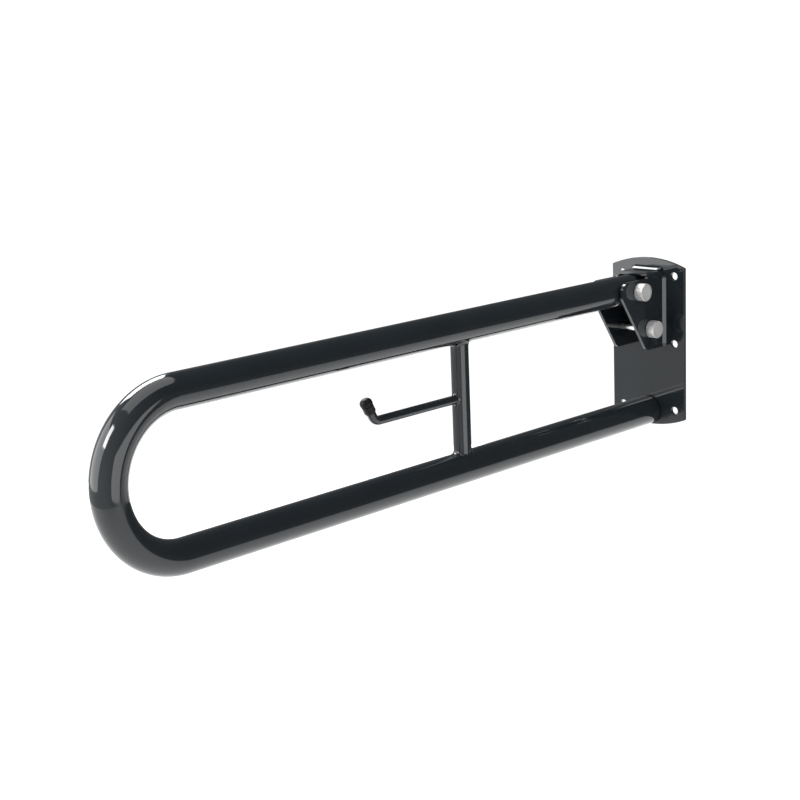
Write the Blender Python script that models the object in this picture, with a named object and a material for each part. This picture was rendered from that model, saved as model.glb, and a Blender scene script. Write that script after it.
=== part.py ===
"""Wall-mounted fold-up support rail with a paper-roll arm, in metres, +Z up.

The wall is the plane Y = 0, the rail reaches out along -Y, and X runs across it.
The origin is the centre of the back face of the wall plate.  Distances named
"out" are measured from the front face of the wall plate, away from the wall.
"""
from math import asin, cos, pi, radians, sin, sqrt, tan

import bmesh
import bpy
from mathutils import Matrix, Vector

FIT = 0.0003                  # gap left between two touching pieces

# wall plate
PLATE_WIDTH = 0.102
PLATE_HEIGHT = 0.200
PLATE_SIDE = 0.180            # height of the straight side edges
PLATE_THICK = 0.004
PLATE_CORNER = 0.003
PLATE_EDGE = 0.0005
HOLE_RADIUS = 0.00475
HOLE_SPREAD = 0.037           # hole columns, each side of the middle
HOLE_PITCH = 0.080

# hinge bracket: one folded sheet, a web on top of two cheeks
SHEET = 0.0035
CHEEK_OUTER = 0.02275         # outside face of each cheek, from the middle
CHEEK_INNER = CHEEK_OUTER - SHEET
FOLD_RADIUS = 0.0065
WEB_TOP = 0.0870
WEB_OUT = 0.0315              # how far the web reaches
NOSE_OUT = 0.0800             # how far the cheeks reach
NOSE_LOW = 0.0630             # height where the slanted front edge begins
FOOT_OUT = 0.0350
FOOT_HEIGHT = -0.0033
FILLET_LEG = 0.0050
TOP_FILLET_HALF = 0.0190

# rail loop: one bent tube
TUBE_RADIUS = 0.017
TUBE_WALL = 0.002
AXIS_TOP = 0.0675             # height of the upper tube
LOOP_RADIUS = 0.075
AXIS_LOW = AXIS_TOP - 2 * LOOP_RADIUS
LOOP_CENTRE_OUT = 0.704
TOP_END_OUT = 0.038
LOW_END_OUT = 0.003
TUBE_SIDES = 36
LOOP_STEPS = 20

# pins through the cheeks
PIVOT_OUT = 0.049
LOCK_OUT = 0.0271
LOCK_HEIGHT = 0.0212
SHAFT_RADIUS = 0.004
SHAFT_HOLE = 0.0043
HEAD_RADIUS = 0.010
HEAD_LENGTH = 0.0105
HEAD_EDGE = 0.0008
NUT_DEPTH = 0.0070
PIN_SIDES = 32

# lift-and-drop lock, hidden between the cheeks and in the tube end
SLOT_TRAVEL = 0.020
TONGUE_HALF_THICK = 0.004
TONGUE_HALF_HEIGHT = 0.014
TONGUE_START_OUT = 0.018
TONGUE_END_OUT = 0.080
BUSH_RADIUS = 0.006
BUSH_FLANGE = 0.009
BUSH_FLANGE_THICK = 0.0016

# rubber stop on the lower tube
BUFFER_SPIGOT = 0.011
BUFFER_EDGE = 0.0007

# cross post and roll arm
POST_OUT = 0.332
POST_RADIUS = 0.0095
POST_WALL = 0.0015
ROD_RADIUS = 0.00475
ROD_HEIGHT = (AXIS_TOP + AXIS_LOW) / 2
ROD_CORNER_OUT = 0.4592
ROD_RISE = radians(61.5)      # how steeply the free end turns up
ROD_BEND_RADIUS = 0.010
ROD_LEG = 0.0250              # corner to the end of the bar
CAP_START = 0.0113            # corner to the open end of the cap
CAP_END = 0.0280
CAP_DOME = 0.0048             # height of the flattened dome
CAP_RADIUS = 0.0058
CAP_HEAD = 0.0065
CAP_RIB = 0.0003
BEAD_LEG = 0.0030


# ---------------------------------------------------------------- helpers

def clear_scene():
    """Start from an empty file."""
    for thing in list(bpy.data.objects):
        bpy.data.objects.remove(thing, do_unlink=True)


def material(name, colour, metallic, roughness):
    """A plain Principled material."""
    made = bpy.data.materials.new(name)
    made.use_nodes = True
    shader = made.node_tree.nodes["Principled BSDF"]
    shader.inputs["Base Color"].default_value = (*colour, 1.0)
    shader.inputs["Metallic"].default_value = metallic
    shader.inputs["Roughness"].default_value = roughness
    return made


def skin(rings, closed=False):
    """Mesh from rings of equal length; a closed skin joins the last ring to the first."""
    mesh = bpy.data.meshes.new("skin")
    work = bmesh.new()
    rows = [[work.verts.new(point) for point in ring] for ring in rings]
    count = len(rows[0])
    pairs = list(zip(rows, rows[1:] + rows[:1])) if closed else list(zip(rows, rows[1:]))
    for here, there in pairs:
        for i in range(count):
            j = (i + 1) % count
            work.faces.new((here[i], here[j], there[j], there[i]))
    if not closed:
        work.faces.new(rows[0])
        work.faces.new(rows[-1])
    bmesh.ops.recalc_face_normals(work, faces=work.faces)
    work.to_mesh(mesh)
    work.free()
    return mesh


def rounded(corners):
    """Outline from (a, b, radius) corners, each rounded with a short arc."""
    outline = []
    for i, (a, b, radius) in enumerate(corners):
        here = Vector((a, b))
        before = (Vector(corners[i - 1][:2]) - here).normalized()
        after = (Vector(corners[(i + 1) % len(corners)][:2]) - here).normalized()
        if radius == 0:
            outline.append(here)
            continue
        half = before.angle(after) / 2
        start = here + before * (radius / tan(half))
        end = here + after * (radius / tan(half))
        centre = here + (before + after).normalized() * (radius / sin(half))
        steps = max(3, round((pi - 2 * half) / radians(15)))
        swing = (start - centre).angle_signed(end - centre)
        for step in range(steps + 1):
            turn = Matrix.Rotation(-swing * step / steps, 2)
            outline.append(centre + turn @ (start - centre))
    return outline


def circle(radius, sides):
    return [(radius * cos(2 * pi * i / sides), radius * sin(2 * pi * i / sides)) for i in range(sides)]


def slab_across(outline, low, high):
    """Solid with an (out, height) outline, running across from X = low to X = high."""
    return skin([[(x, -PLATE_THICK - out, z) for out, z in outline] for x in (low, high)])


def turned(stations, out, height, sides=PIN_SIDES):
    """Solid of revolution about a crosswise axis, from (x, radius) stations."""
    return skin([[(x, -PLATE_THICK - out + a, height + b) for a, b in circle(radius, sides)]
                 for x, radius in stations])


def turned_ring(section, out, height, sides=PIN_SIDES):
    """Hollow solid of revolution about a crosswise axis, from a closed (x, radius) section."""
    rings = []
    for a, b in circle(1.0, sides):
        rings.append([(x, -PLATE_THICK - out + radius * a, height + radius * b) for x, radius in section])
    return skin(rings, closed=True)


def stadium(start, end, radius):
    """Outline of a slot along the upper tube, between two end centres."""
    return rounded([(start - radius, AXIS_TOP - radius, radius * 0.999),
                    (end + radius, AXIS_TOP - radius, radius * 0.999),
                    (end + radius, AXIS_TOP + radius, radius * 0.999),
                    (start - radius, AXIS_TOP + radius, radius * 0.999)])


def carve(mesh, tool, operation="DIFFERENCE"):
    """Boolean of two meshes; returns the result and frees both inputs."""
    body = bpy.data.objects.new("body", mesh)
    cutter = bpy.data.objects.new("cutter", tool)
    for thing in (body, cutter):
        bpy.context.scene.collection.objects.link(thing)
    cut = body.modifiers.new("cut", "BOOLEAN")
    cut.operation = operation
    cut.solver = "EXACT"
    cut.object = cutter
    bpy.context.view_layer.update()
    result = bpy.data.meshes.new_from_object(body.evaluated_get(bpy.context.evaluated_depsgraph_get()))
    for thing in (body, cutter):
        bpy.data.objects.remove(thing, do_unlink=True)
    for spent in (mesh, tool):
        bpy.data.meshes.remove(spent)
    return result


def soften(mesh, width, wanted):
    """Bevel the edges of a mesh for which wanted(edge) is true."""
    work = bmesh.new()
    work.from_mesh(mesh)
    edges = [edge for edge in work.edges if wanted(edge)]
    bmesh.ops.bevel(work, geom=edges, offset=width, segments=2, profile=0.5, affect="EDGES")
    work.to_mesh(mesh)
    work.free()
    return mesh


def add(name, mesh, finish, origin, parent=None):
    """Named object whose own origin sits at a chosen point."""
    mesh.name = name
    mesh.transform(Matrix.Translation(-Vector(origin)))
    mesh.materials.clear()
    mesh.materials.append(finish)
    thing = bpy.data.objects.new(name, mesh)
    bpy.context.scene.collection.objects.link(thing)
    thing.location = Vector(origin) - (parent.location if parent else Vector())
    thing.parent = parent
    return thing


# ---------------------------------------------------------------- wall bracket

def wall_plate():
    """Flat plate with arched ends and two columns of three screw holes."""
    half = PLATE_WIDTH / 2
    rise = (PLATE_HEIGHT - PLATE_SIDE) / 2
    arch = (half ** 2 + rise ** 2) / (2 * rise)
    sweep = asin(half / arch)
    steps = 14
    corners = []
    for side in (1, -1):
        centre = side * (PLATE_HEIGHT / 2 - arch)
        for step in range(steps + 1):
            angle = sweep * (1 - 2 * step / steps)
            at_corner = step in (0, steps)
            corners.append((side * arch * sin(angle), centre + side * arch * cos(angle),
                            PLATE_CORNER if at_corner else 0))
    outline = rounded(corners)
    mesh = skin([[(x, y, z) for x, z in outline] for y in (-PLATE_THICK, 0)])
    mesh = soften(mesh, PLATE_EDGE, lambda edge: abs(edge.verts[0].co.y - edge.verts[1].co.y) < 1e-6)
    for x in (-HOLE_SPREAD, HOLE_SPREAD):
        for z in (-HOLE_PITCH, 0, HOLE_PITCH):
            drill = skin([[(x + a, y, z + b) for a, b in circle(HOLE_RADIUS, 24)]
                          for y in (-2 * PLATE_THICK, PLATE_THICK)])
            mesh = carve(mesh, drill)
    return mesh


def hinge_bracket():
    """Folded saddle: a short web on top, two cheeks with forward noses, pin holes."""
    low, high = FOOT_HEIGHT, WEB_TOP
    inner_fold = FOLD_RADIUS - SHEET
    section = rounded([(CHEEK_OUTER, low, 0), (CHEEK_OUTER, high, FOLD_RADIUS),
                       (-CHEEK_OUTER, high, FOLD_RADIUS), (-CHEEK_OUTER, low, 0),
                       (-CHEEK_INNER, low, 0), (-CHEEK_INNER, high - SHEET, inner_fold),
                       (CHEEK_INNER, high - SHEET, inner_fold), (CHEEK_INNER, low, 0)])
    near, far = -PLATE_THICK - FIT, -PLATE_THICK - NOSE_OUT - 0.005
    mesh = skin([[(x, y, z) for x, z in section] for y in (near, far)])
    nose_top = WEB_TOP - FOLD_RADIUS
    side = rounded([(-0.005, low - 0.005, 0), (-0.005, high + 0.005, 0),
                    (WEB_OUT, high + 0.005, 0), (WEB_OUT, nose_top, 0.0015),
                    (NOSE_OUT, nose_top, 0.011), (NOSE_OUT, NOSE_LOW, 0.005),
                    (FOOT_OUT, low, 0.009), (FOOT_OUT - 0.012, low, 0),
                    (FOOT_OUT - 0.012, low - 0.005, 0)])
    mesh = carve(mesh, slab_across(side, -0.04, 0.04), "INTERSECT")
    for out, height in ((PIVOT_OUT, AXIS_TOP), (LOCK_OUT, LOCK_HEIGHT)):
        mesh = carve(mesh, turned([(-0.04, SHAFT_HOLE), (0.04, SHAFT_HOLE)], out, height, 24))
    return mesh


def fillet_section(leg):
    """Concave corner fillet: (from wall, from floor) points of its section."""
    steps = 6
    curve = [(leg - (leg - FIT) * sin(pi / 2 * step / steps), leg - (leg - FIT) * cos(pi / 2 * step / steps))
             for step in range(steps + 1)]
    return [(FIT, FIT)] + curve


def side_fillet(side):
    """Upright weld fillet between a cheek and the wall plate."""
    section = [(side * (CHEEK_OUTER + a), -PLATE_THICK - b) for a, b in fillet_section(FILLET_LEG)]
    return skin([[(x, y, z) for x, y in section] for z in (FOOT_HEIGHT, WEB_TOP - FOLD_RADIUS)])


def top_fillet():
    """Weld fillet between the web and the wall plate."""
    section = [(-PLATE_THICK - a, WEB_TOP + b) for a, b in fillet_section(FILLET_LEG)]
    return skin([[(x, y, z) for y, z in section] for x in (-TOP_FILLET_HALF, TOP_FILLET_HALF)])


def headed_pin(out, height):
    """Plain shaft with a large round head on the +X side."""
    seat = CHEEK_OUTER + FIT
    end = seat + HEAD_LENGTH
    return turned([(-seat - NUT_DEPTH + 0.0007, SHAFT_RADIUS - 0.0005),
                   (-seat - NUT_DEPTH + 0.0012, SHAFT_RADIUS), (seat, SHAFT_RADIUS),
                   (seat, HEAD_RADIUS - HEAD_EDGE / 2), (seat + HEAD_EDGE / 2, HEAD_RADIUS),
                   (end - HEAD_EDGE, HEAD_RADIUS), (end - HEAD_EDGE * 0.3, HEAD_RADIUS - HEAD_EDGE * 0.3),
                   (end, HEAD_RADIUS - HEAD_EDGE)], out, height)


def barrel_nut(out, height):
    """Matching round head on the -X side, with a blind bore for the shaft."""
    seat = -CHEEK_OUTER - FIT
    end = seat - HEAD_LENGTH
    return turned([(seat - NUT_DEPTH, SHAFT_HOLE), (seat, SHAFT_HOLE),
                   (seat, HEAD_RADIUS - HEAD_EDGE / 2), (seat - HEAD_EDGE / 2, HEAD_RADIUS),
                   (end + HEAD_EDGE, HEAD_RADIUS), (end + HEAD_EDGE * 0.3, HEAD_RADIUS - HEAD_EDGE * 0.3),
                   (end, HEAD_RADIUS - HEAD_EDGE)], out, height)


def pivot_bush(side):
    """Flanged sleeve on the pivot, between a cheek and the lock tongue."""
    inner, outer = TONGUE_HALF_THICK + FIT, CHEEK_INNER - FIT
    flange = outer - BUSH_FLANGE_THICK
    section = [(inner, SHAFT_HOLE), (outer, SHAFT_HOLE), (outer, BUSH_FLANGE), (flange, BUSH_FLANGE),
               (flange, BUSH_RADIUS), (inner, BUSH_RADIUS)]
    return turned_ring([(side * x, radius) for x, radius in section], PIVOT_OUT, AXIS_TOP)


# ---------------------------------------------------------------- folding rail

def loop_stations():
    """Centre and outward directions along the bent tube, from its top end to its low end."""
    upright = Vector((0, 0, 1))
    stations = [(Vector((0, -PLATE_THICK - TOP_END_OUT, AXIS_TOP)), upright)]
    middle = Vector((0, -PLATE_THICK - LOOP_CENTRE_OUT, (AXIS_TOP + AXIS_LOW) / 2))
    for step in range(LOOP_STEPS + 1):
        angle = pi * step / LOOP_STEPS
        spoke = Vector((0, -sin(angle), cos(angle)))
        stations.append((middle + spoke * LOOP_RADIUS, spoke))
    stations.append((Vector((0, -PLATE_THICK - LOW_END_OUT, AXIS_LOW)), -upright))
    return stations


def rail_tube():
    """One hollow tube bent into a long U, slotted near its top end for the pivot."""
    across = Vector((1, 0, 0))
    rings = []
    for radius, order in ((TUBE_RADIUS, 1), (TUBE_RADIUS - TUBE_WALL, -1)):
        for centre, spoke in loop_stations()[::order]:
            rings.append([centre + across * a + spoke * b for a, b in circle(radius, TUBE_SIDES)])
    mesh = skin(rings, closed=True)
    slot = stadium(PIVOT_OUT, PIVOT_OUT + SLOT_TRAVEL, BUSH_RADIUS + 0.0004)
    return carve(mesh, slab_across(slot, -0.03, 0.03))


def lock_tongue():
    """Flat bar fixed in the top tube end, slotted for the pivot; it engages the lock pin."""
    low, high = AXIS_TOP - TONGUE_HALF_HEIGHT, AXIS_TOP + TONGUE_HALF_HEIGHT
    outline = rounded([(TONGUE_START_OUT, low, 0.006), (TONGUE_END_OUT, low, 0.002),
                       (TONGUE_END_OUT, high, 0.002), (TONGUE_START_OUT, high, 0.006)])
    mesh = slab_across(outline, -TONGUE_HALF_THICK, TONGUE_HALF_THICK)
    slot = stadium(PIVOT_OUT, PIVOT_OUT + SLOT_TRAVEL, SHAFT_RADIUS + 0.0004)
    return carve(mesh, slab_across(slot, -0.02, 0.02))


def along_tube(stations, height, sides=TUBE_SIDES):
    """Solid of revolution about a line along the rail, from (out, radius) stations."""
    return skin([[(a, -PLATE_THICK - out, height + b) for a, b in circle(radius, sides)]
                 for out, radius in stations])


def stop_buffer():
    """Rubber plug of the lower tube end; its rim rests against the wall plate."""
    spigot = TUBE_RADIUS - TUBE_WALL - FIT
    rim_end = LOW_END_OUT - FIT
    return along_tube([(FIT, TUBE_RADIUS - BUFFER_EDGE), (FIT + BUFFER_EDGE, TUBE_RADIUS),
                       (rim_end, TUBE_RADIUS), (rim_end, spigot),
                       (rim_end + BUFFER_SPIGOT, spigot), (rim_end + BUFFER_SPIGOT + 0.001, spigot - 0.001)],
                      AXIS_LOW)


def cross_post():
    """Upright tube between the two rails, its ends coped to the round tubes."""
    sides = 24
    reach = TUBE_RADIUS + FIT
    rings = []
    for radius, ends in ((POST_RADIUS, (1, -1)), (POST_RADIUS - POST_WALL, (-1, 1))):
        for end in ends:
            ring = []
            for a, b in circle(radius, sides):
                drop = sqrt(reach ** 2 - a ** 2)
                height = AXIS_TOP - drop if end == 1 else AXIS_LOW + drop
                ring.append((a, -PLATE_THICK - POST_OUT + b, height))
            rings.append(ring)
    return skin(rings, closed=True)


def saddle_bead(parent_radius, branch_radius, leg):
    """Weld bead round a branch on +Z standing on a round bar that lies along Y at the origin."""
    rings = []
    for c, s in circle(1.0, 24):
        ring = []
        for a, b in fillet_section(leg):
            x, y = (branch_radius + a) * c, (branch_radius + a) * s
            ring.append(Vector((x, y, sqrt(parent_radius ** 2 - x ** 2) + b)))
        rings.append(ring)
    return skin(rings, closed=True)


def post_bead(end):
    """Weld bead where the cross post meets the upper (1) or lower (-1) tube."""
    mesh = saddle_bead(TUBE_RADIUS, POST_RADIUS, BEAD_LEG)
    height = AXIS_TOP if end == 1 else AXIS_LOW
    turn = Matrix.Rotation(pi, 4, "Y") if end == 1 else Matrix.Identity(4)
    mesh.transform(Matrix.Translation((0, -PLATE_THICK - POST_OUT, height)) @ turn)
    return mesh


def rod_bead():
    """Weld bead where the roll arm leaves the cross post."""
    mesh = saddle_bead(POST_RADIUS, ROD_RADIUS, BEAD_LEG * 0.7)
    mesh.transform(Matrix.Translation((0, -PLATE_THICK - POST_OUT, ROD_HEIGHT)) @ Matrix.Rotation(pi / 2, 4, "X"))
    return mesh


def rod_point(distance):
    """Point on the turned-up leg of the roll arm, measured from the corner."""
    return Vector((0, -PLATE_THICK - ROD_CORNER_OUT - distance * cos(ROD_RISE),
                   ROD_HEIGHT + distance * sin(ROD_RISE)))


def holder_rod():
    """Round bar that carries the paper roll: straight, then turned up at its free end."""
    sides, steps = 20, 8
    rings = [[(a, -PLATE_THICK - POST_OUT, ROD_HEIGHT + b) for a, b in circle(ROD_RADIUS, sides)]]
    setback = ROD_BEND_RADIUS * tan(ROD_RISE / 2)
    centre = Vector((0, -PLATE_THICK - ROD_CORNER_OUT + setback, ROD_HEIGHT + ROD_BEND_RADIUS))
    for step in range(steps + 1):
        angle = ROD_RISE * step / steps
        spoke = Vector((0, sin(angle), cos(angle)))
        middle = centre - spoke * ROD_BEND_RADIUS
        rings.append([middle + Vector((a, 0, 0)) + spoke * b for a, b in circle(ROD_RADIUS, sides)])
    spoke = Vector((0, sin(ROD_RISE), cos(ROD_RISE)))
    for distance, radius in ((ROD_LEG - 0.0008, ROD_RADIUS), (ROD_LEG, ROD_RADIUS - 0.0008)):
        rings.append([rod_point(distance) + Vector((a, 0, 0)) + spoke * b for a, b in circle(radius, sides)])
    post = skin([[(a, -PLATE_THICK - POST_OUT + b, ROD_HEIGHT + z) for a, b in circle(POST_RADIUS + FIT, 24)]
                 for z in (-0.02, 0.02)])
    return carve(skin(rings), post)


def holder_cap():
    """Rubber cap with shallow ribs and a domed head, pushed on the free end of the roll arm."""
    sides = 24
    bore = ROD_RADIUS + FIT
    section = [(ROD_LEG + FIT, bore * 0.55), (ROD_LEG + FIT, bore), (CAP_START, bore)]
    section += [(CAP_START, CAP_RADIUS - 0.0004), (CAP_START + 0.0004, CAP_RADIUS)]
    for rib in range(3):
        start = CAP_START + 0.0016 + 0.0027 * rib
        section += [(start, CAP_RADIUS), (start + 0.0004, CAP_RADIUS + CAP_RIB),
                    (start + 0.0012, CAP_RADIUS + CAP_RIB), (start + 0.0016, CAP_RADIUS)]
    dome = CAP_END - CAP_DOME
    section += [(dome - 0.0024, CAP_RADIUS), (dome - 0.0018, CAP_HEAD)]
    for step in range(6):
        angle = pi / 2 * step / 5.4
        section.append((dome + CAP_DOME * sin(angle), CAP_HEAD * cos(angle)))
    spoke = Vector((0, sin(ROD_RISE), cos(ROD_RISE)))
    rings = [[rod_point(distance) + Vector((a, 0, 0)) + spoke * b for a, b in circle(radius, sides)]
             for distance, radius in section]
    return skin(rings)


# ---------------------------------------------------------------- assembly

def build():
    clear_scene()
    paint = dict(colour=(0.035, 0.04, 0.044), metallic=0.0, roughness=0.2)
    steel = dict(colour=(0.62, 0.62, 0.6), metallic=1.0, roughness=0.3)
    nylon = dict(colour=(0.75, 0.74, 0.7), metallic=0.0, roughness=0.5)
    rubber = dict(colour=(0.02, 0.02, 0.02), metallic=0.0, roughness=0.75)

    pivot = Vector((0, -PLATE_THICK - PIVOT_OUT, AXIS_TOP))
    lock = Vector((0, -PLATE_THICK - LOCK_OUT, LOCK_HEIGHT))
    fixed = [
        ("wall_plate", wall_plate(), paint, (0, 0, 0)),
        ("hinge_bracket", hinge_bracket(), paint, pivot),
        ("bracket_weld_near", side_fillet(1), paint, (0, 0, 0)),
        ("bracket_weld_far", side_fillet(-1), paint, (0, 0, 0)),
        ("bracket_weld_top", top_fillet(), paint, (0, 0, 0)),
        ("pivot_pin", headed_pin(PIVOT_OUT, AXIS_TOP), steel, pivot),
        ("pivot_nut", barrel_nut(PIVOT_OUT, AXIS_TOP), steel, pivot),
        ("pivot_bush_near", pivot_bush(1), nylon, pivot),
        ("pivot_bush_far", pivot_bush(-1), nylon, pivot),
        ("lock_pin", headed_pin(LOCK_OUT, LOCK_HEIGHT), steel, lock),
        ("lock_nut", barrel_nut(LOCK_OUT, LOCK_HEIGHT), steel, lock),
    ]
    moving = [
        ("rail_tube", rail_tube(), paint),
        ("lock_tongue", lock_tongue(), steel),
        ("stop_buffer", stop_buffer(), rubber),
        ("cross_post", cross_post(), paint),
        ("post_weld_top", post_bead(1), paint),
        ("post_weld_low", post_bead(-1), paint),
        ("holder_rod", holder_rod(), paint),
        ("holder_weld", rod_bead(), paint),
        ("holder_cap", holder_cap(), rubber),
    ]
    arm = bpy.data.objects.new("arm_pivot", None)
    arm.location = pivot
    bpy.context.scene.collection.objects.link(arm)
    for name, mesh, finish, origin in fixed:
        add(name, mesh, material(name + "_finish", **finish), origin)
    for name, mesh, finish in moving:
        add(name, mesh, material(name + "_finish", **finish), pivot, arm)


build()
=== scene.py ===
"""Looks for the wall-mounted fold-up support rail: fine meshes, procedural finishes, studio."""

from math import asin, cos, pi, radians, sin, sqrt, tan

import bmesh
import bpy
from mathutils import Matrix, Vector


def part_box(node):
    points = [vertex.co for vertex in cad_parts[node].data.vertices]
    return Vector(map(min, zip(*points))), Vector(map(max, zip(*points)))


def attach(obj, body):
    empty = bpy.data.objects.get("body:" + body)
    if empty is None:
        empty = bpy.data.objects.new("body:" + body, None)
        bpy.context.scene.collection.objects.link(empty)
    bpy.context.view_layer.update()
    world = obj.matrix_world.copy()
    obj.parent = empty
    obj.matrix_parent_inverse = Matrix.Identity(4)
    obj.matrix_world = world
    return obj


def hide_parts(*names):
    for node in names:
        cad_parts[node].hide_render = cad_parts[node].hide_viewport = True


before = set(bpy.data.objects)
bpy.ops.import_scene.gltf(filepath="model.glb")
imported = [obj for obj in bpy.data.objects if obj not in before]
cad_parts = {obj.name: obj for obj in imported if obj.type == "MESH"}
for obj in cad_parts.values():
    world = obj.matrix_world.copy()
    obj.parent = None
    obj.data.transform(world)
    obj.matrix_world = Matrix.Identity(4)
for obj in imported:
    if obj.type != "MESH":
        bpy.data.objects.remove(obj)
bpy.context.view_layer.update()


# ---------------------------------------------------------------- sizes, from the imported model

def limits(node):
    """Lower and upper corner of a CAD node's box."""
    low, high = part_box(node)
    return Vector(low), Vector(high)


PLATE_LOW, PLATE_HIGH = limits("wall_plate")
PLATE_FRONT = PLATE_LOW.y
BRACKET_LOW, BRACKET_HIGH = limits("hinge_bracket")
TUBE_LOW, TUBE_HIGH = limits("rail_tube")
POST_LOW, POST_HIGH = limits("cross_post")
NUT_LOW, NUT_HIGH = limits("pivot_nut")
LOCK_LOW, LOCK_HIGH = limits("lock_nut")

TUBE_R = TUBE_HIGH.x
TUBE_WALL = 0.002
AXIS_TOP = TUBE_HIGH.z - TUBE_R
AXIS_LOW = TUBE_LOW.z + TUBE_R
LOOP_R = (AXIS_TOP - AXIS_LOW) / 2
LOOP_MID = (AXIS_TOP + AXIS_LOW) / 2
LOOP_Y = TUBE_LOW.y + TUBE_R + LOOP_R
LOW_END_Y = TUBE_HIGH.y
TOP_END_Y = TUBE_HIGH.y - 0.035

POST_R = POST_HIGH.x
POST_WALL = 0.0015
POST_Y = (POST_LOW.y + POST_HIGH.y) / 2
ROD_R = limits("holder_rod")[1].x
GAP = 0.0003                    # clearance between neighbouring pieces

SHEET = 0.0035
FOLD = 0.0065                   # outer radius of the bracket's folds
CHEEK = BRACKET_HIGH.x
WEB_TOP = BRACKET_HIGH.z
FOOT = BRACKET_LOW.z
HOLES = [(x, z) for x in (-0.037, 0.037) for z in (-0.08, 0.0, 0.08)]

PIVOT = Vector((0, (NUT_LOW.y + NUT_HIGH.y) / 2, AXIS_TOP))
PIVOT_SLOT = 0.020              # length of the pivot slots, between their end centres
LOCK = Vector((0, (LOCK_LOW.y + LOCK_HIGH.y) / 2, (LOCK_LOW.z + LOCK_HIGH.z) / 2))
HEAD_R = (LOCK_HIGH.z - LOCK_LOW.z) / 2
SHAFT_R = 0.004

WELD_LEG = 0.005                # bracket on plate
BEAD_LEG = 0.003                # post on tubes
ARM_BEAD_LEG = 0.0021           # roll arm on post

ARM_RISE = radians(61.5)
ARM_BEND = 0.010
ARM_LEG = 0.025                 # from the corner to the tip
ARM_CORNER = Vector((0, PLATE_FRONT - 0.4592, LOOP_MID))
ARM_ALONG = Vector((0, -cos(ARM_RISE), sin(ARM_RISE)))
ARM_SPOKE = Vector((0, sin(ARM_RISE), cos(ARM_RISE)))

FLOOR = -0.62                   # height of the studio floor
SMOOTH_ANGLE = 40               # degrees; sharper edges stay sharp


# ---------------------------------------------------------------- mesh helpers

def circle(radius, sides):
    """Points (a, b) round a circle about the origin."""
    return [(radius * cos(2 * pi * i / sides), radius * sin(2 * pi * i / sides))
            for i in range(sides)]


def skin(rings, closed=False):
    """Mesh from rings of equal length; a closed skin joins the last ring to the first."""
    mesh = bpy.data.meshes.new("skin")
    work = bmesh.new()
    rows = [[work.verts.new(point) for point in ring] for ring in rings]
    count = len(rows[0])
    for here, there in list(zip(rows, rows[1:])) + ([(rows[-1], rows[0])] if closed else []):
        for i in range(count):
            j = (i + 1) % count
            work.faces.new((here[i], here[j], there[j], there[i]))
    if not closed:
        work.faces.new(rows[0])
        work.faces.new(rows[-1])
    bmesh.ops.recalc_face_normals(work, faces=work.faces)
    work.to_mesh(mesh)
    work.free()
    return mesh


def rounded(corners, step_angle=6):
    """Outline from (a, b, radius) corners, each rounded with an arc."""
    outline = []
    for i, (a, b, radius) in enumerate(corners):
        here = Vector((a, b))
        before = (Vector(corners[i - 1][:2]) - here).normalized()
        after = (Vector(corners[(i + 1) % len(corners)][:2]) - here).normalized()
        if radius == 0:
            outline.append(here)
            continue
        half = before.angle(after) / 2
        start = here + before * (radius / tan(half))
        end = here + after * (radius / tan(half))
        centre = here + (before + after).normalized() * (radius / sin(half))
        steps = max(3, round((pi - 2 * half) / radians(step_angle)))
        swing = (start - centre).angle_signed(end - centre)
        for step in range(steps + 1):
            turn = Matrix.Rotation(-swing * step / steps, 2)
            outline.append(centre + turn @ (start - centre))
    return outline


def soften(mesh, width, wanted=None, segments=3):
    """Round the sharp edges of a mesh, or those for which wanted(edge) is true."""
    work = bmesh.new()
    work.from_mesh(mesh)
    bmesh.ops.remove_doubles(work, verts=work.verts, dist=1e-6)
    edges = [edge for edge in work.edges if len(edge.link_faces) == 2
             and edge.calc_face_angle(0) > radians(35) and (wanted is None or wanted(edge))]
    bmesh.ops.bevel(work, geom=edges, offset=width, segments=segments, profile=0.5,
                    affect="EDGES", clamp_overlap=True)
    work.to_mesh(mesh)
    work.free()
    return mesh


def carve(mesh, tool, operation="DIFFERENCE"):
    """Boolean of two meshes, cleaned of slivers; frees both inputs."""
    body = bpy.data.objects.new("body", mesh)
    cutter = bpy.data.objects.new("cutter", tool)
    for thing in (body, cutter):
        bpy.context.scene.collection.objects.link(thing)
    cut = body.modifiers.new("cut", "BOOLEAN")
    cut.operation = operation
    cut.solver = "EXACT"
    cut.object = cutter
    bpy.context.view_layer.update()
    evaluated = body.evaluated_get(bpy.context.evaluated_depsgraph_get())
    result = bpy.data.meshes.new_from_object(evaluated)
    for thing in (body, cutter):
        bpy.data.objects.remove(thing, do_unlink=True)
    for spent in (mesh, tool):
        bpy.data.meshes.remove(spent)
    sliver = 5e-6
    work = bmesh.new()
    work.from_mesh(result)
    bmesh.ops.remove_doubles(work, verts=work.verts, dist=sliver)
    bmesh.ops.dissolve_degenerate(work, edges=work.edges, dist=sliver)
    work.to_mesh(result)
    work.free()
    return result


def slab_across(outline, low, high):
    """Solid with a (y, z) outline, running across from X = low to X = high."""
    return skin([[(x, y, z) for y, z in outline] for x in (low, high)])


def turned(stations, centre, sides=96):
    """Solid of revolution about a crosswise axis, from (x, radius) stations."""
    return skin([[(x, centre.y + a, centre.z + b) for a, b in circle(radius, sides)]
                 for x, radius in stations])


def turned_ring(section, centre, sides=72):
    """Hollow solid of revolution about a crosswise axis, from a closed (x, radius) section."""
    return skin([[(x, centre.y + radius * a, centre.z + radius * b) for x, radius in section]
                 for a, b in circle(1.0, sides)], closed=True)


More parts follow.
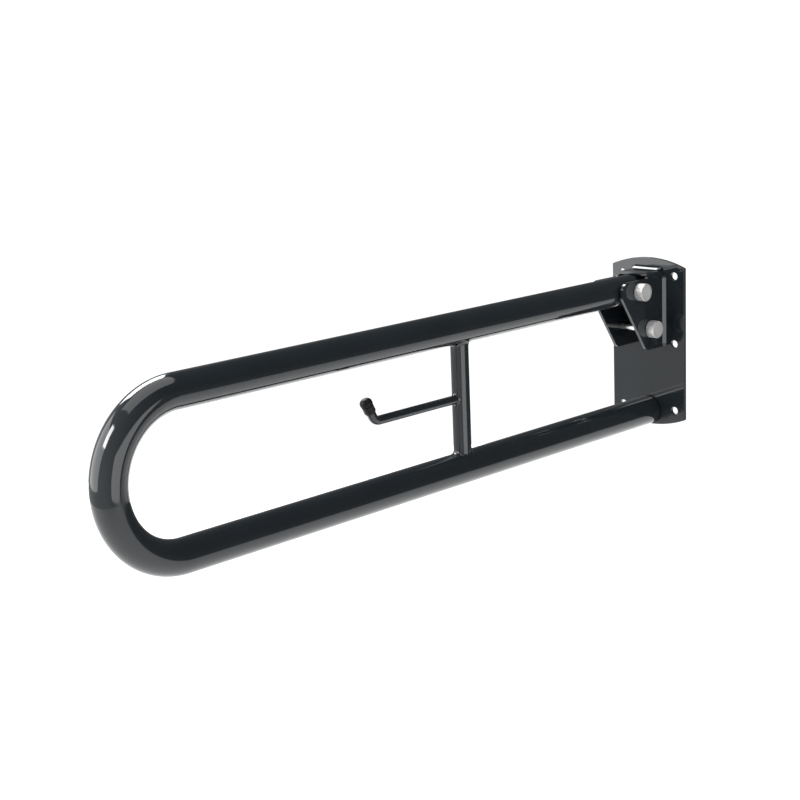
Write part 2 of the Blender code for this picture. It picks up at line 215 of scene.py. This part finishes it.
def piece(name, mesh, finish, body, node, origin=(0, 0, 0), level=True):
    """Finished visible piece that rides on a body and stands for a CAD node.

    A level piece has its shading evened out between large and small faces.
    """
    mesh.transform(Matrix.Translation(-Vector(origin)))
    mesh.materials.clear()
    mesh.materials.append(finish)
    mesh.shade_smooth()
    mesh.set_sharp_from_angle(angle=radians(SMOOTH_ANGLE))
    thing = bpy.data.objects.new(name, mesh)
    thing.location = origin
    bpy.context.scene.collection.objects.link(thing)
    if level:
        normals = thing.modifiers.new("even shading", "WEIGHTED_NORMAL")
        normals.keep_sharp = True
        normals.weight = 80
    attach(thing, body)
    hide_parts(node)
    return thing


# ---------------------------------------------------------------- finishes

# sockets of a Mix node by data type: first value, second value, result
MIX_FLOAT = (2, 3, 0)
MIX_COLOUR = (6, 7, 2)


class Finish:
    """Small wrapper that builds a node material around one Principled shader."""

    def __init__(self, name, colour, metallic=0.0, roughness=0.4, **fixed):
        self.material = bpy.data.materials.new(name)
        self.material.use_nodes = True
        self.nodes = self.material.node_tree.nodes
        self.links = self.material.node_tree.links
        self.shader = self.nodes["Principled BSDF"]
        self.shader.inputs["Base Color"].default_value = (*colour, 1)
        self.shader.inputs["Metallic"].default_value = metallic
        self.shader.inputs["Roughness"].default_value = roughness
        for socket, value in fixed.items():
            self.shader.inputs[socket.replace("_", " ")].default_value = value
        self.place = self.nodes.new("ShaderNodeTexCoord")
        self.last_bump = None

    def node(self, kind, **settings):
        """New node, with settings for its inputs or its properties."""
        made = self.nodes.new(kind)
        for key, value in settings.items():
            if key in made.inputs:
                made.inputs[key].default_value = value
            else:
                setattr(made, key, value)
        return made

    def noise(self, scale, detail=3.0, stretch=(1, 1, 1)):
        """Noise signal in object space."""
        mapping = self.node("ShaderNodeMapping")
        mapping.inputs["Scale"].default_value = stretch
        self.links.new(self.place.outputs["Object"], mapping.inputs["Vector"])
        made = self.node("ShaderNodeTexNoise", Scale=scale, Detail=detail)
        self.links.new(mapping.outputs["Vector"], made.inputs["Vector"])
        return made.outputs["Fac"]

    def spread(self, source, low, high, start=0.3, stop=0.7):
        """Map the start..stop part of a signal to low..high."""
        made = self.node("ShaderNodeMapRange")
        for key, value in (("From Min", start), ("From Max", stop),
                           ("To Min", low), ("To Max", high)):
            made.inputs[key].default_value = value
        self.links.new(source, made.inputs["Value"])
        return made.outputs["Result"]

    def rough(self, source, low, high):
        """Vary the roughness between two values."""
        self.links.new(self.spread(source, low, high), self.shader.inputs["Roughness"])

    def spread_tint(self, share, dark, light):
        """Blend the base colour from dark to light by a 0..1 share."""
        first, second, result = MIX_COLOUR
        mix = self.node("ShaderNodeMix", data_type="RGBA")
        mix.inputs[first].default_value = (*dark, 1)
        mix.inputs[second].default_value = (*light, 1)
        self.links.new(share, mix.inputs[0])
        self.links.new(mix.outputs[result], self.shader.inputs["Base Color"])

    def tint(self, source, dark, light):
        """Vary the base colour between two close colours."""
        self.spread_tint(self.spread(source, 0, 1), dark, light)

    def bump(self, source, height):
        """Add relief of the given height in metres."""
        made = self.node("ShaderNodeBump", Strength=1.0, Distance=height)
        self.links.new(source, made.inputs["Height"])
        if self.last_bump:
            self.links.new(self.last_bump.outputs["Normal"], made.inputs["Normal"])
        self.links.new(made.outputs["Normal"], self.shader.inputs["Normal"])
        self.last_bump = made


def gloss_paint():
    """Thick gloss anthracite coating: near-mirror, with a faint flow texture."""
    f = Finish("gloss anthracite coating", (0.0068, 0.0090, 0.0108), roughness=0.09, IOR=1.5)
    f.tint(f.noise(14), (0.0062, 0.0083, 0.0100), (0.0074, 0.0098, 0.0117))
    f.rough(f.noise(55, 4), 0.065, 0.095)
    f.bump(f.noise(260, 2), 0.0000022)
    return f.material


def turned_steel():
    """Turned stainless steel: satin heads with fine rings and grain, brighter shafts."""
    f = Finish("satin stainless", (0.48, 0.48, 0.475), metallic=0.8, roughness=0.45)
    f.tint(f.noise(900, 4), (0.46, 0.46, 0.457), (0.61, 0.61, 0.605))
    along = f.node("ShaderNodeSeparateXYZ")
    f.links.new(f.place.outputs["Object"], along.inputs["Vector"])
    reach = f.node("ShaderNodeMath", operation="ABSOLUTE")
    f.links.new(along.outputs["X"], reach.inputs[0])
    head = f.spread(reach.outputs["Value"], 0, 1, CHEEK - 0.0005, CHEEK + 0.0002)
    first, second, result = MIX_FLOAT
    blend = f.node("ShaderNodeMix", data_type="FLOAT")
    f.links.new(head, blend.inputs[0])
    f.links.new(f.spread(f.noise(500, 3), 0.14, 0.22), blend.inputs[first])
    f.links.new(f.spread(f.noise(500, 3), 0.38, 0.52), blend.inputs[second])
    f.links.new(blend.outputs[result], f.shader.inputs["Roughness"])
    f.links.new(f.spread(head, 1.0, 0.8, 0, 1), f.shader.inputs["Metallic"])
    rings = f.node("ShaderNodeTexWave", wave_type="RINGS", rings_direction="X",
                   Scale=700.0, Distortion=0.6, Detail=2.0)
    f.links.new(f.place.outputs["Object"], rings.inputs["Vector"])
    f.bump(rings.outputs["Fac"], 0.000006)
    f.bump(f.noise(1400, 4), 0.000012)
    return f.material


def zinc_steel():
    """Zinc-plated bar with a faint drawn grain."""
    f = Finish("zinc plated bar", (0.45, 0.46, 0.47), metallic=1.0, roughness=0.4)
    f.tint(f.noise(90, 4), (0.36, 0.37, 0.38), (0.52, 0.52, 0.53))
    f.rough(f.noise(60, 3), 0.32, 0.5)
    f.bump(f.noise(300, 3, (1, 0.06, 1)), 0.00002)
    return f.material


def nylon():
    """Natural nylon bush."""
    f = Finish("natural nylon", (0.7, 0.68, 0.62), roughness=0.45)
    f.shader.inputs["Subsurface Weight"].default_value = 0.15
    f.tint(f.noise(120, 3), (0.64, 0.62, 0.56), (0.74, 0.72, 0.66))
    f.rough(f.noise(200, 3), 0.38, 0.55)
    f.bump(f.noise(900, 3), 0.00001)
    return f.material


def rubber():
    """Moulded black rubber with a fine matt grain."""
    f = Finish("black rubber", (0.005, 0.005, 0.005), roughness=0.4, IOR=1.4)
    f.shader.inputs["Specular IOR Level"].default_value = 0.18
    f.tint(f.noise(160, 4), (0.003, 0.003, 0.0032), (0.0055, 0.0055, 0.0058))
    f.rough(f.noise(420, 3), 0.3, 0.44)
    f.bump(f.noise(900, 3), 0.000006)
    return f.material


# ---------------------------------------------------------------- wall bracket

def wall_plate():
    """Arched plate with softened edges and six lightly broken screw holes."""
    half, top = PLATE_HIGH.x, PLATE_HIGH.z
    rise, corner, rim = 0.010, 0.0012, 0.0005
    arch = (half ** 2 + rise ** 2) / (2 * rise)
    sweep = asin(half / arch)
    steps = 40
    corners = []
    for side in (1, -1):
        centre = side * (top - arch)
        for step in range(steps + 1):
            angle = sweep * (1 - 2 * step / steps)
            corners.append((side * arch * sin(angle), centre + side * arch * cos(angle),
                            corner if step in (0, steps) else 0))
    outline = rounded(corners, 12)
    mesh = skin([[(x, y, z) for x, z in outline] for y in (PLATE_FRONT, 0)])
    mesh = soften(mesh, rim, lambda edge: abs(edge.verts[0].co.y - edge.verts[1].co.y) < 1e-6)
    radius, ease, reach = 0.0046, 0.00012, 0.001
    stations = [(PLATE_FRONT - reach, radius + ease + reach), (PLATE_FRONT + ease, radius),
                (-ease, radius), (reach, radius + ease + reach)]
    for hole_x, hole_z in HOLES:
        drill = skin([[(hole_x + a, y, hole_z + b) for a, b in circle(r, 48)]
                      for y, r in stations])
        mesh = carve(mesh, drill)
    return mesh


def hinge_bracket():
    """Folded saddle of one sheet: web, two cheeks with noses, rounded rims, pin holes."""
    inner, inner_top, inner_fold = CHEEK - SHEET, WEB_TOP - SHEET, FOLD - SHEET
    section = rounded([(CHEEK, FOOT, 0), (CHEEK, WEB_TOP, FOLD),
                       (-CHEEK, WEB_TOP, FOLD), (-CHEEK, FOOT, 0),
                       (-inner, FOOT, 0), (-inner, inner_top, inner_fold),
                       (inner, inner_top, inner_fold), (inner, FOOT, 0)], 9)
    front, back, past, across = BRACKET_LOW.y, BRACKET_HIGH.y, 0.005, 0.04
    mesh = skin([[(x, y, z) for x, z in section] for y in (back, front - past)])
    nose_top, nose_low = WEB_TOP - FOLD, 0.063
    web_front, foot_front = PLATE_FRONT - 0.0315, PLATE_FRONT - 0.035
    foot_back, rim = foot_front + 0.012, 0.0011
    side = rounded([(back + past, FOOT - past, 0), (back + past, WEB_TOP + past, 0),
                    (web_front, WEB_TOP + past, 0), (web_front, nose_top, 0.0015),
                    (front, nose_top, 0.011), (front, nose_low, 0.005),
                    (foot_front, FOOT, 0.009), (foot_back, FOOT, 0), (foot_back, FOOT - past, 0)])
    mesh = carve(mesh, slab_across(side, -across, across), "INTERSECT")
    mesh = soften(mesh, rim, segments=4)
    for pin in (PIVOT, LOCK):
        mesh = carve(mesh, turned([(-across, SHAFT_R + GAP), (across, SHAFT_R + GAP)], pin, 48))
    return mesh


def fillet_section(leg, steps=10):
    """Concave corner fillet: section points at (from one face, from the other)."""
    curve = []
    for i in range(steps + 1):
        turn = pi / 2 * i / steps
        curve.append((leg - (leg - GAP) * sin(turn), leg - (leg - GAP) * cos(turn)))
    return [(GAP, GAP)] + curve


def crowned_section(leg, wide, tall, steps=10):
    """Slightly crowned corner bead; wide and tall are its two legs as shares of the leg."""
    wide, tall, crown = leg * wide, leg * tall, leg * 0.025
    curve = []
    for i in range(steps + 1):
        t = i / steps
        swell = crown * sin(pi * t)
        curve.append((wide + (GAP - wide) * t + swell * 0.5, GAP + (tall - GAP) * t + swell * 0.87))
    return [(GAP, GAP)] + curve


def run_of_bead(place, start, end, wide, tall):
    """Weld bead along a line, thinner at its ends; wide and tall as for crowned_section.

    place(a, b, s) puts section point (a, b) at distance s.
    """
    rings, steps = [], 60
    end_share, growth, taper = 0.55, 0.45, 0.003
    for i in range(steps + 1):
        s = start + (end - start) * i / steps
        from_end = min(s - start, end - s)
        ease = min(1.0, end_share + growth * sqrt(min(1.0, from_end / taper)))
        section = crowned_section(GAP + (WELD_LEG - GAP) * ease, wide, tall)
        rings.append([place(a, b, s) for a, b in section])
    return skin(rings)


def bracket_beads(paint):
    """Smooth painted welds of the bracket on the wall plate: two upright, one on top."""
    for side, name, node in ((1, "fillet_near", "bracket_weld_near"),
                             (-1, "fillet_far", "bracket_weld_far")):
        mesh = run_of_bead(lambda a, b, s, side=side: (side * (CHEEK + a), PLATE_FRONT - b, s),
                           FOOT, WEB_TOP - FOLD, 0.66, 0.77)
        piece(name, mesh, paint, "wall_bracket", node)
    reach = limits("bracket_weld_top")[1].x + 0.0015
    mesh = run_of_bead(lambda a, b, s: (s, PLATE_FRONT - a, WEB_TOP + b), -reach, reach, 1.3, 0.75)
    piece("fillet_top", mesh, paint, "wall_bracket", "bracket_weld_top")


def pin_head(seat, side):
    """(x, radius) stations of a round head from its seat outwards, with a groove round its face."""
    length, rim = 0.0105, 0.0004
    stations = [(seat, HEAD_R - rim), (seat + side * rim, HEAD_R)]
    for i in range(5):
        turn = pi / 2 * i / 4
        stations.append((seat + side * (length - rim + rim * sin(turn)),
                         HEAD_R - rim + rim * cos(turn)))
    face = seat + side * length
    groove, dish = 0.0009, 0.0001
    for inset, depth in ((0.0007, 0), (0.0009, groove), (0.0015, groove),
                         (0.0017, dish), (0.009, dish)):
        stations.append((face - side * depth, HEAD_R - inset))
    return stations


def headed_pin(centre):
    """Pin through both cheeks, with its round head on the near side."""
    seat = CHEEK + GAP
    tip, ease = -seat - 0.0063, 0.0005
    shaft = [(tip, SHAFT_R - ease), (tip + ease, SHAFT_R), (seat, SHAFT_R)]
    return turned(shaft + pin_head(seat, 1), centre)


def barrel_nut(centre):
    """Round nut with a blind bore on the far end of a pin."""
    seat, bore, depth = -CHEEK - GAP, SHAFT_R + GAP, 0.007
    return turned([(seat - depth, bore), (seat, bore)] + pin_head(seat, -1), centre)


def pivot_bush(side):
    """Flanged bush between the tongue and a cheek, round the pivot pin."""
    inner, outer, bore = 0.0043, CHEEK - SHEET - GAP, SHAFT_R + GAP
    sleeve, flange, back = 0.006, 0.009, outer - 0.0016
    edge, lead = 0.0003, 0.0004
    section = [(inner, bore), (outer, bore), (outer, flange - edge), (outer - edge, flange),
               (back + edge, flange), (back, flange - edge), (back, sleeve),
               (inner + lead, sleeve), (inner, sleeve - lead)]
    return turned_ring([(side * x, radius) for x, radius in section], PIVOT)


# ---------------------------------------------------------------- folding rail

def stadium(start, end, height, radius):
    """(y, z) outline of a slot between two end centres."""
    points = []
    for middle, sign in ((end, -1), (start, 1)):
        for i in range(25):
            turn = pi * i / 24
            points.append((middle + sign * radius * sin(turn),
                           height - sign * radius * cos(turn)))
    return points


def rail_tube():
    """Hollow tube bent into a long U, with softened ends and the pivot slot."""
    sides, steps, runs, ease = 96, 96, 12, 0.0004
    across, up = Vector((1, 0, 0)), Vector((0, 0, 1))
    middle = Vector((0, LOOP_Y, LOOP_MID))
    path = []
    for i in range(steps + 1):
        spoke = Vector((0, -sin(pi * i / steps), cos(pi * i / steps)))
        path.append((middle + spoke * LOOP_R, spoke, 0.0))
    top = [(Vector((0, TOP_END_Y, AXIS_TOP)), up, ease),
           (Vector((0, TOP_END_Y - ease, AXIS_TOP)), up, 0.0)]
    low = []
    for i in range(1, runs):
        y = TOP_END_Y + (LOOP_Y - TOP_END_Y) * i / runs
        top.append((Vector((0, y, AXIS_TOP)), up, 0.0))
        y = LOOP_Y + (LOW_END_Y - LOOP_Y) * i / runs
        low.append((Vector((0, y, AXIS_LOW)), -up, 0.0))
    low += [(Vector((0, LOW_END_Y - ease, AXIS_LOW)), -up, 0.0),
            (Vector((0, LOW_END_Y, AXIS_LOW)), -up, ease)]
    stations = top + path + low
    rings = []
    for radius, order, sign in ((TUBE_R, 1, -1), (TUBE_R - TUBE_WALL, -1, 1)):
        for centre, spoke, inset in stations[::order]:
            r = radius + sign * inset
            rings.append([centre + across * a + spoke * b for a, b in circle(r, sides)])
    mesh = skin(rings, closed=True)
    slot_r, past = 0.0064, 0.03
    slot = stadium(PIVOT.y, PIVOT.y - PIVOT_SLOT, AXIS_TOP, slot_r)
    return carve(mesh, slab_across(slot, -past, past))


def lock_tongue():
    """Slotted bar in the end of the upper tube."""
    low, high = limits("lock_tongue")
    tip, root, rim, play, past = 0.006, 0.002, 0.0004, 0.0004, 0.02
    outline = rounded([(high.y, low.z, tip), (low.y, low.z, root),
                       (low.y, high.z, root), (high.y, high.z, tip)])
    mesh = soften(slab_across(outline, low.x, high.x), rim, segments=2)
    slot = stadium(PIVOT.y, PIVOT.y - PIVOT_SLOT, AXIS_TOP, SHAFT_R + play)
    return carve(mesh, slab_across(slot, -past, past))


def stop_buffer():
    """Rubber plug with a rounded rim that shows as a dark ring at the wall plate."""
    low, high = limits("stop_buffer")
    rim_front, spigot = LOW_END_Y + GAP, TUBE_R - TUBE_WALL - GAP
    edge, ease, lead, core = 0.0007, 0.0003, 0.001, 0.004
    stations = []
    for i in range(6):
        turn = pi / 2 * i / 5
        stations.append((high.y - edge + edge * cos(turn), TUBE_R - edge + edge * sin(turn)))
    stations += [(rim_front + ease, TUBE_R), (rim_front, TUBE_R - ease), (rim_front, spigot),
                 (low.y + lead, spigot), (low.y, spigot - lead), (low.y, core)]
    return skin([[(a, y, AXIS_LOW + b) for a, b in circle(radius, 96)] for y, radius in stations])


def cross_post():
    """Upright tube coped to the two rails."""
    sides, levels = 72, 8
    reach = TUBE_R + GAP
    rings = []
    for radius, order in ((POST_R, 1), (POST_R - POST_WALL, -1)):
        for level in range(levels + 1)[::order]:
            share = level / levels
            ring = []
            for a, b in circle(radius, sides):
                drop = sqrt(reach ** 2 - a ** 2)
                top, low = AXIS_TOP - drop, AXIS_LOW + drop
                ring.append((a, POST_Y + b, top + (low - top) * share))
            rings.append(ring)
    return skin(rings, closed=True)


def saddle_bead(parent_radius, branch_radius, leg):
    """Weld bead round a branch on +Z standing on a round bar along Y at the origin."""
    rings = []
    for c, s in circle(1.0, 96):
        ring = []
        for a, b in fillet_section(leg):
            x, y = (branch_radius + a) * c, (branch_radius + a) * s
            ring.append(Vector((x, y, sqrt(parent_radius ** 2 - x ** 2) + b)))
        rings.append(ring)
    return skin(rings, closed=True)


def joint_beads(paint):
    """Welds of the post on both tubes and of the roll arm on the post."""
    for name, node, height, turn in (("bead_post_top", "post_weld_top", AXIS_TOP, pi),
                                     ("bead_post_low", "post_weld_low", AXIS_LOW, 0.0)):
        mesh = saddle_bead(TUBE_R, POST_R, BEAD_LEG)
        mesh.transform(Matrix.Translation((0, POST_Y, height)) @ Matrix.Rotation(turn, 4, "Y"))
        piece(name, mesh, paint, "rail", node)
    mesh = saddle_bead(POST_R, ROD_R, ARM_BEAD_LEG)
    mesh.transform(Matrix.Translation((0, POST_Y, LOOP_MID)) @ Matrix.Rotation(pi / 2, 4, "X"))
    piece("bead_arm", mesh, paint, "rail", "holder_weld")


def leg_ring(distance, radius, sides):
    """Ring round the turned-up leg of the roll arm, a distance from its corner."""
    middle = ARM_CORNER + ARM_ALONG * distance
    return [middle + Vector((a, 0, 0)) + ARM_SPOKE * b for a, b in circle(radius, sides)]


def holder_rod():
    """Roll arm: round bar from the post, bent up into a short leg, coped to the post."""
    sides, steps, ease = 72, 32, 0.0008
    setback = ARM_BEND * tan(ARM_RISE / 2)
    centre = ARM_CORNER + Vector((0, setback, ARM_BEND))
    rings = [[(a, y, LOOP_MID + b) for a, b in circle(ROD_R, sides)]
             for y in (POST_Y, POST_Y - 0.03, POST_Y - 0.07)]
    for i in range(steps + 1):
        angle = ARM_RISE * i / steps
        spoke = Vector((0, sin(angle), cos(angle)))
        rings.append([centre - spoke * ARM_BEND + Vector((a, 0, 0)) + spoke * b
                      for a, b in circle(ROD_R, sides)])
    rings += [leg_ring(ARM_LEG - ease, ROD_R, sides), leg_ring(ARM_LEG, ROD_R - ease, sides)]
    post = skin([[(a, POST_Y + b, LOOP_MID + z) for a, b in circle(POST_R + GAP, sides)]
                 for z in (-0.02, 0.02)])
    return carve(skin(rings), post)


def holder_cap():
    """Rubber cap: thick open end, three moulded ribs, domed head; (distance, radius) section."""
    start, end, bore, bottom, core = 0.0113, 0.0280, ROD_R + GAP, ARM_LEG + GAP, 0.001
    radius, lip, rib, rib_width, rib_pitch = 0.0058, 0.0006, 0.0003, 0.0016, 0.0027
    head, height = 0.0065, 0.0048
    section = [(bottom, core), (bottom, bore), (start, bore), (start, radius - lip)]
    for i in range(1, 5):
        turn = pi / 2 * i / 4
        section.append((start + lip * sin(turn), radius - lip * cos(turn)))
    for k in range(3):
        base = start + rib_width + rib_pitch * k
        section += [(base + rib_width * i / 8, radius + rib * sin(pi * i / 8)) for i in range(9)]
    dome = end - height
    section += [(dome - 0.0026, radius - 0.0004), (dome - 0.0021, radius - 0.0001),
                (dome - 0.0018, head)]
    for i in range(19):
        turn = pi / 2 * i / 18.4
        section.append((dome + height * sin(turn), head * cos(turn)))
    return skin([leg_ring(distance, r, 72) for distance, r in section])


# ---------------------------------------------------------------- studio

def aimed(name, azimuth, elevation, distance, width, height, radiance, target=(0, -0.5, 0)):
    """Rectangular softbox seen from the target at an azimuth (0 = -Y, 90 = +X) and elevation."""
    light = bpy.data.lights.new(name, "AREA")
    light.shape = "RECTANGLE"
    light.size, light.size_y = width, height
    light.energy = radiance * pi * width * height
    thing = bpy.data.objects.new(name, light)
    az, el = radians(azimuth), radians(elevation)
    away = Vector((sin(az) * cos(el), -cos(az) * cos(el), sin(el)))
    thing.location = Vector(target) + away * distance
    thing.rotation_euler = away.to_track_quat("Z", "Y").to_euler()
    thing.visible_camera = False
    bpy.context.scene.collection.objects.link(thing)
    return thing


def studio():
    """White surround, a pale round floor with a painted pool of light, five softboxes and a fill
    light for the floor.
    """
    aimed("softbox key", -107, 42, 5.0, 2.7, 2.4, 14.0)
    aimed("softbox front left", -40, 15, 2.3, 2.9, 2.1, 3.0)
    aimed("softbox front accent", -12, 36, 2.1, 0.65, 0.7, 20.0)
    aimed("softbox right", 88, -3, 2.3, 2.2, 1.2, 2.6)
    aimed("softbox overhead", 0, 90, 2.2, 2.2, 2.2, 2.0)
    fill = aimed("floor fill", 100, 62, 2.6, 2.6, 2.6, 2.35, target=(0.3, -0.3, FLOOR))
    fill.visible_glossy = False

    middle, reach, thick, rim = -0.1, 2.0, 0.03, 0.005
    levels = ((FLOOR - thick, reach), (FLOOR - rim, reach), (FLOOR, reach - rim))
    mesh = skin([[(middle + a, middle + b, z) for a, b in circle(r, 128)] for z, r in levels])
    floor_finish = Finish("pale floor", (0.86, 0.86, 0.86), roughness=0.8)
    distance = floor_finish.node("ShaderNodeVectorMath", operation="DISTANCE")
    painted_light_centre = (-0.75, 0.6, FLOOR)      # painted pool of light: the floor's colour is lightest round here
    distance.inputs[1].default_value = painted_light_centre
    floor_finish.links.new(floor_finish.place.outputs["Object"], distance.inputs[0])
    # painted light: the floor's colour fades from light at the pool to darker further out
    painted_light_share = floor_finish.spread(distance.outputs["Value"], 1, 0, 1.3, 2.4)
    floor_finish.spread_tint(painted_light_share, (0.72, 0.72, 0.72), (0.86, 0.86, 0.86))
    floor_finish.rough(floor_finish.noise(3, 3), 0.7, 0.9)
    mesh.materials.append(floor_finish.material)
    floor = bpy.data.objects.new("floor", mesh)
    bpy.context.scene.collection.objects.link(floor)

    world = bpy.data.worlds.new("studio")
    bpy.context.scene.world = world
    world.use_nodes = True
    nodes, links = world.node_tree.nodes, world.node_tree.links
    nodes.clear()
    out = nodes.new("ShaderNodeOutputWorld")
    room = nodes.new("ShaderNodeBackground")
    white = nodes.new("ShaderNodeBackground")
    for surround in (room, white):
        surround.inputs["Color"].default_value = (1, 1, 1, 1)
    white.inputs["Strength"].default_value = 1.1
    place = nodes.new("ShaderNodeTexCoord")
    toward = nodes.new("ShaderNodeVectorMath")
    toward.operation = "DOT_PRODUCT"
    lighter_side = (-0.15, -0.8, -0.5)      # the room grows lighter this way in reflections
    toward.inputs[1].default_value = lighter_side
    links.new(place.outputs["Generated"], toward.inputs[0])
    depth = nodes.new("ShaderNodeMapRange")
    for key, value in (("From Min", -0.7), ("From Max", 0.75), ("To Min", 0.1), ("To Max", 1.0)):
        depth.inputs[key].default_value = value
    links.new(toward.outputs["Value"], depth.inputs["Value"])
    links.new(depth.outputs["Result"], room.inputs["Strength"])
    seen = nodes.new("ShaderNodeLightPath")
    mix = nodes.new("ShaderNodeMixShader")
    links.new(seen.outputs["Is Camera Ray"], mix.inputs[0])
    links.new(room.outputs["Background"], mix.inputs[1])
    links.new(white.outputs["Background"], mix.inputs[2])
    links.new(mix.outputs["Shader"], out.inputs["Surface"])
    bpy.context.scene.view_settings.view_transform = "Standard"


def camera():
    """Camera at the photograph's viewing angle."""
    data = bpy.data.cameras.new("camera")
    data.sensor_width = 36.0
    data.lens = 72.23
    data.clip_end = 50.0
    thing = bpy.data.objects.new("camera", data)
    bpy.context.scene.collection.objects.link(thing)
    az, el, roll = radians(44.68), radians(12.46), radians(-2.34)
    back = Vector((sin(az) * cos(el), -cos(az) * cos(el), sin(el)))
    thing.location = (1.1053, -1.5443, 0.3546)
    level = back.to_track_quat("Z", "Y").to_matrix()
    thing.rotation_euler = (level @ Matrix.Rotation(roll, 3, "Z")).to_euler()
    bpy.context.scene.camera = thing


# ---------------------------------------------------------------- everything together

def build():
    """Every piece of the part, then the camera and the studio."""
    paint, steel, black = gloss_paint(), turned_steel(), rubber()
    zinc, white = zinc_steel(), nylon()
    piece("plate", wall_plate(), paint, "wall_bracket", "wall_plate")
    piece("bracket", hinge_bracket(), paint, "wall_bracket", "hinge_bracket")
    bracket_beads(paint)
    for name, mesh, node, centre in (("pivot_pin_head", headed_pin(PIVOT), "pivot_pin", PIVOT),
                                     ("pivot_pin_nut", barrel_nut(PIVOT), "pivot_nut", PIVOT),
                                     ("lock_pin_head", headed_pin(LOCK), "lock_pin", LOCK),
                                     ("lock_pin_nut", barrel_nut(LOCK), "lock_nut", LOCK)):
        piece(name, mesh, steel, "wall_bracket", node, centre)
    piece("bush_near", pivot_bush(1), white, "wall_bracket", "pivot_bush_near", PIVOT)
    piece("bush_far", pivot_bush(-1), white, "wall_bracket", "pivot_bush_far", PIVOT)

    piece("rail", rail_tube(), paint, "rail", "rail_tube", level=False)
    piece("tongue", lock_tongue(), zinc, "rail", "lock_tongue")
    piece("buffer", stop_buffer(), black, "rail", "stop_buffer")
    piece("post", cross_post(), paint, "rail", "cross_post", level=False)
    joint_beads(paint)
    piece("arm", holder_rod(), paint, "rail", "holder_rod", level=False)
    piece("cap", holder_cap(), black, "rail", "holder_cap", level=False)
    camera()
    studio()


build()
